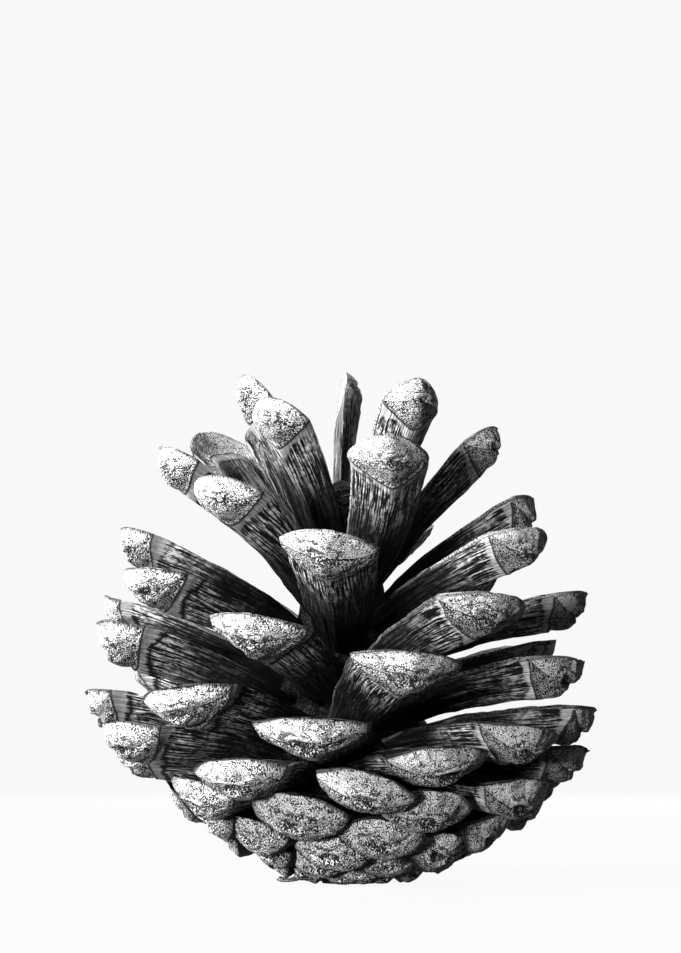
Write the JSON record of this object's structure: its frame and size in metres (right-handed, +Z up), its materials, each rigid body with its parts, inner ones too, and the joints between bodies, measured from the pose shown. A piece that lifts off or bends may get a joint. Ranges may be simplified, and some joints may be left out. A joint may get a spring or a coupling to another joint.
{
  "type": "pine cone",
  "caption": "Open, dry pine cone standing on its stem end, with spiral woody scales that spread wide, each with a thick pale end and a small boss.",
  "frame": {"origin": "centre of the flat broken end of the stalk, on the surface that the cone stands on", "axes": "+Z up along the cone's axis from the stalk to the tip; -Y towards the viewer of the picture; +X to the right"},
  "size_m": [0.0698, 0.0686, 0.071],
  "materials": {
    "wood": "dry, matte and weathered, pale speckled scale ends on dark striped scales"
  },
  "bodies": {
    "root": {"cone": "wood"}
  },
  "joints": []
}
